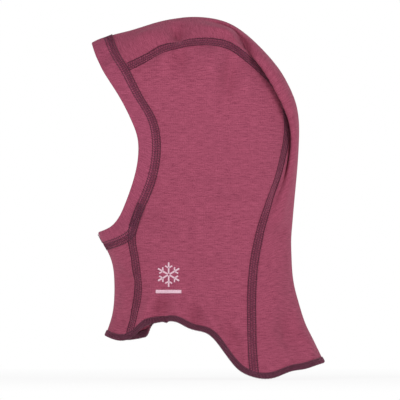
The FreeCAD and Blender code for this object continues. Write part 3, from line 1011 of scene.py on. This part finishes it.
def hem_loop():
    """Round the bottom edge from the back middle, by the left side, to the back middle again."""
    share = (1 + np.cos(np.linspace(0, math.pi, 241))) / 2
    places = HEM.at(share)
    centre = lift(places)
    centre[[0, -1], 0] = 0
    normal = outward(places)
    normal[[0, -1], 0] = 0
    normal = unit(normal)
    centre = np.concatenate([centre, centre[-2::-1] * MIRROR])
    normal = np.concatenate([normal, normal[-2::-1] * MIRROR])
    closed = np.concatenate([centre[-2:-1], centre, centre[1:2]])
    across = unit(np.cross(normal, closed[2:] - closed[:-2]))
    return Track(centre, across, normal)


hem_track = hem_loop()
hem = Builder()
half = HALF_CLOTH + 0.18
bed_outer, bed_inner = fold_outline(HEM_DEPTH, half - 0.1, 0.3, 0.0, 5)
along = np.linspace(0.02, hem_track.length - 0.02, 420)
layers = []
for run in (bed_outer, bed_inner):
    lengths, across = mesh_of(along, run[:, 0] - HEM_DEPTH)
    height = mesh_of(along, run[:, 1])[1]
    layers.append(warp(hem_track.place(lengths, across, height)))
hem.shell(*layers, np.stack(mesh_of(along, 0.6 * np.arange(len(bed_outer))), axis=-1), 1)
starts = np.linspace(0.05, hem_track.length - 1.15, round(hem_track.length / WRAP_STEP))
turns = np.linspace(math.pi / 2, -math.pi / 2, 7)
radius = half + 0.42
legs = [
    (0.0, -HEM_DEPTH, radius - 0.25), (0.35, -0.66 * HEM_DEPTH, radius), (0.75, -0.33 * HEM_DEPTH, radius),
]
wrap = legs + [(1.1, radius * math.cos(turn), radius * math.sin(turn)) for turn in turns]
wrap += [(run, depth, -height) for run, depth, height in reversed(legs)]
hem.threads(hem_track, starts, wrap, 0.33, 0, 6)
chain_starts = np.linspace(0.05, hem_track.length - STITCH - 0.05, round(hem_track.length / STITCH))
for height in (radius - 0.1, -radius + 0.1):
    row = -HEM_DEPTH + 0.5
    low, high = height * 0.8, height * 1.12
    shape = [(0.0, row, low), (0.6, row, high), (1.3, row, high), (STITCH, row, low)]
    hem.threads(hem_track, chain_starts, shape, 0.3, 0, 6)
hem_edge = hem.make("hem_overlock_threads", [HEM_THREAD, HEM_GROUND])

# ---- join of the band under the chin

join = Builder()
low, high = 4.3, float(band_width[0]) - 2.2
top = HALF_CLOTH + 0.55
chin_centre, chin_along, chin_normal = face_track.centre[0], face_track.across[0], face_track.normal[0]
chin_track = Track(
    chin_centre + np.outer(np.linspace(low - 1, high + 1, 12), chin_along),
    np.tile([1.0, 0.0, 0.0], (12, 1)), np.tile(chin_normal, (12, 1)),
)
starts = np.linspace(1.0, high - low + 0.2, 7)
for lean in (1, -1):
    shape = [
        (0.9 * share, lean * 2.1 * (2 * share - 1), top + 0.25 * math.sin(math.pi * share))
        for share in np.linspace(0, 1, 6)
    ]
    join.threads(chin_track, starts, shape, 0.24, 1, 6)
for row in (-2.1, 2.1):
    shape = [(0.0, row, top - 0.05), (0.6, row, top + 0.2), (1.2, row, top - 0.05)]
    join.threads(chin_track, starts, shape, 0.3, 0, 6)
band_join = join.make("band_join_threads", [NEEDLE, COVER])

# ---- care label


def box_mm(node):
    """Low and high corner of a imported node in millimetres."""
    low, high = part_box(node)
    return low * 1000, high * 1000


label_low, label_high = box_mm("care_label")
z, y = mesh_of(np.linspace(label_low.z, label_high.z, 24), np.linspace(label_low.y, label_high.y, 18))
places = np.stack([y, z], axis=-1)
surface, direction = lift(places), outward(places)
hang = (label_high.z - z) / LABEL_DROP
curl = (0.9 * hang ** 2 + 0.25 * np.sin(y / 5) * hang)[..., None]
near, far = [warp(surface - direction * (HALF_CLOTH + clear + curl)) for clear in (0.5, 0.85)]
label = Builder()
label.shell(near, far, places, 0)
starts = np.arange(label_low.y + 1.5, label_high.y - 2.5, 2.4)
stitch_z = label_high.z - 2.2
stitch = np.stack([
    np.stack([starts + step, np.full(len(starts), stitch_z)], axis=1) for step in np.linspace(0, 1.7, 4)
], axis=1)
bow = np.array([0.0, 0.25, 0.25, 0.0])[None, :, None]
paths = lift(stitch) - outward(stitch) * (HALF_CLOTH + 0.85 + bow)
label.tubes(warp(paths), outward(stitch), 0.16, 1, 5)
care_label = label.make("care_tape", [LABEL, COVER])

# ---- generic print


def print_strip(builder, start, end, width):
    """Flat bar of ink between two side-view places, laid on the cloth."""
    start, end = np.array(start, float), np.array(end, float)
    length = np.linalg.norm(end - start)
    run = (end - start) / length
    cross = np.array([-run[1], run[0]])
    along, across = mesh_of(
        np.linspace(0, length, max(int(length / 0.6), 4)), width * np.linspace(-0.5, 0.5, 6))
    places = start + along[..., None] * run + across[..., None] * cross
    surface, direction = lift(places), outward(places)
    outer, inner = [warp(surface + direction * (HALF_CLOTH + rise)) for rise in (0.14, -0.02)]
    builder.shell(outer, inner, places, 0)


mark_low, mark_high = box_mm("print_mark")
mark_centre = np.array([mark_low.y + mark_high.y, mark_low.z + mark_high.z]) / 2
mark_radius = (mark_high.z - mark_low.z) / 2
mark = Builder()
for arm in range(6):
    angle = math.radians(30 + 60 * arm)
    run = np.array([math.cos(angle), math.sin(angle)])
    print_strip(mark, mark_centre + run * 0.9, mark_centre + run * mark_radius, 1.5)
    fork = mark_centre + run * 0.55 * mark_radius
    for lean in (-60, 60):
        twig = np.array([math.cos(angle + math.radians(lean)), math.sin(angle + math.radians(lean))])
        print_strip(mark, fork, fork + twig * 0.34 * mark_radius, 1.3)
print_mark = mark.make("snow_print", [PRINT])

bar_low, bar_high = box_mm("print_bar")
bar_z = (bar_low.z + bar_high.z) / 2
bar = Builder()
print_strip(bar, (bar_low.y, bar_z), (bar_high.y, bar_z), bar_high.z - bar_low.z)
print_bar = bar.make("bar_print", [PRINT])

# ---- attach every piece to the root and hide the imported part it stands for

made = [
    (left_side, "jersey", "left_side_panel"), (right_side, "jersey", "right_side_panel"),
    (crown_back, "jersey", "crown_back_panel"), (throat, "jersey", "throat_panel"),
    (face_band, "band_jersey", "face_band"), (hem_edge, "hem_thread", "hem_overlock"),
    (band_join, "seam_thread", "band_join_stitch"), (care_label, "label_tape", "care_label"),
    (print_mark, "print_ink", "print_mark"), (print_bar, "print_ink", "print_bar"),
]
made += [(obj, "seam_thread", node) for node, obj in seam_objects.items()]
for obj, slot_name, node in made:
    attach(obj, "root")
    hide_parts(node)

# ---- floor, lights and camera

floor_z = min(corner[2] for piece in made for corner in piece[0].bound_box) - 0.0006
floor_mesh = bpy.data.meshes.new("floor")
FLOOR_REACH = 6.0
corners = [(x * FLOOR_REACH, y * FLOOR_REACH, floor_z) for x, y in ((-1, -1), (1, -1), (1, 1), (-1, 1))]
floor_mesh.from_pydata(corners, [], [(0, 1, 2, 3)])
floor = scene_object("floor", floor_mesh)
floor_material, floor_shader = new_material("floor_paper", 0.9)
fill(floor_shader, Base_Color=(0.86, 0.86, 0.86, 1))
# the floor goes over to plain light away from the hood, so that it has no far edge
floor_nodes = Nodes(floor_material)
away = floor_nodes.add("ShaderNodeVectorMath", operation="LENGTH")
floor_nodes.link(floor_nodes.add("ShaderNodeTexCoord").outputs["Object"], away.inputs[0])
fade = floor_nodes.add("ShaderNodeMapRange")
fill(fade, From_Min=0.15, From_Max=1.1, To_Min=0.88)
floor_nodes.link(away.outputs["Value"], fade.inputs["Value"])
glow = floor_nodes.add("ShaderNodeEmission")
blend = floor_nodes.add("ShaderNodeMixShader")
floor_nodes.link(fade.outputs[0], blend.inputs[0])
floor_nodes.link(floor_shader.outputs[0], blend.inputs[1])
floor_nodes.link(glow.outputs[0], blend.inputs[2])
floor_nodes.link(blend.outputs[0], floor_material.node_tree.nodes["Material Output"].inputs["Surface"])
floor_mesh.materials.append(floor_material)

world = bpy.data.worlds.new("studio")
bpy.context.scene.world = world
world.use_nodes = True
sky = Nodes(world)
direction = sky.split(sky.add("ShaderNodeTexCoord").outputs["Generated"])
shade = sky.ramp(direction["Z"], [
    (0.10, (1.0, 1.0, 1.0, 1)), (0.26, (0.42, 0.42, 0.42, 1)), (0.90, (0.12, 0.12, 0.125, 1)),
])
sky.link(shade, world.node_tree.nodes["Background"].inputs["Color"])
bpy.context.scene.view_settings.view_transform = "Standard"


def area_light(name, place, size, power):
    """Square soft light aimed at the middle of the hood."""
    data = bpy.data.lights.new(name, "AREA")
    data.size = size
    data.energy = power
    light = scene_object(name, data)
    light.location = place
    light.rotation_euler = (Vector((0, 0, -0.07)) - Vector(place)).to_track_quat("-Z", "Y").to_euler()


area_light("key", (1.5, -0.9, 1.4), 0.6, 21)
area_light("fill", (1.2, 1.8, 0.6), 1.2, 15)
area_light("rim", (-1.2, 0.6, 1.3), 1.0, 4)

VIEW_WIDTH = 0.3768
VIEW_CENTRE = (-0.0047, -0.0754)
LENS = 1500.0
SENSOR = 36.0
distance = VIEW_WIDTH * LENS / SENSOR
camera_data = bpy.data.cameras.new("camera")
camera_data.lens = LENS
camera_data.sensor_width = SENSOR
camera_data.clip_end = 50.0
camera = scene_object("camera", camera_data)
camera.location = (distance, *VIEW_CENTRE)
camera.rotation_euler = (math.pi / 2, 0, math.pi / 2)
bpy.context.scene.camera = camera
